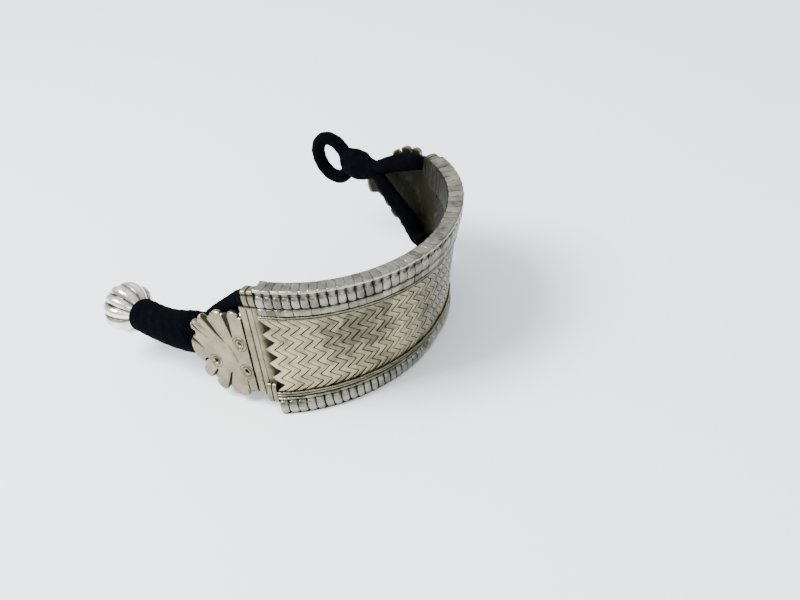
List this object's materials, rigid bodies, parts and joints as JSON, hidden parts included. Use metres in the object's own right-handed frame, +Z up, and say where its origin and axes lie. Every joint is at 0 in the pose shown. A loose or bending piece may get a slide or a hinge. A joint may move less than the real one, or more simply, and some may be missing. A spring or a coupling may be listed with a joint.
{
  "type": "woven silver bracelet with a bead and loop fastening",
  "caption": "Open cuff bracelet: zigzag links woven between rows of faceted edge links, a petal-shaped end plate at each end, and thread-wound ties with a melon bead and a loop.",
  "frame": {"origin": "centre of the whole object's footprint box, on the surface that the lower edge stands on", "axes": "+Z up, along the wrist's axis; +X from the bead end towards the band's middle; +Y from the front end towards the rear end"},
  "size_m": [0.1044, 0.0931, 0.0404],
  "materials": {
    "silver": "satin",
    "wire_silver": "satin",
    "polished_silver": "polished",
    "thread": "matte"
  },
  "bodies": {
    "root": {"woven_links": "silver", "upper_edge_links": "silver", "lower_edge_links": "silver", "upper_edge_wires": "wire_silver", "lower_edge_wires": "wire_silver", "front_cap": "silver", "rear_cap": "silver", "front_fan": "silver", "rear_fan": "silver", "front_tie": "thread", "rear_tie": "thread", "rear_loop": "thread", "melon_bead": "polished_silver"}
  },
  "joints": []
}
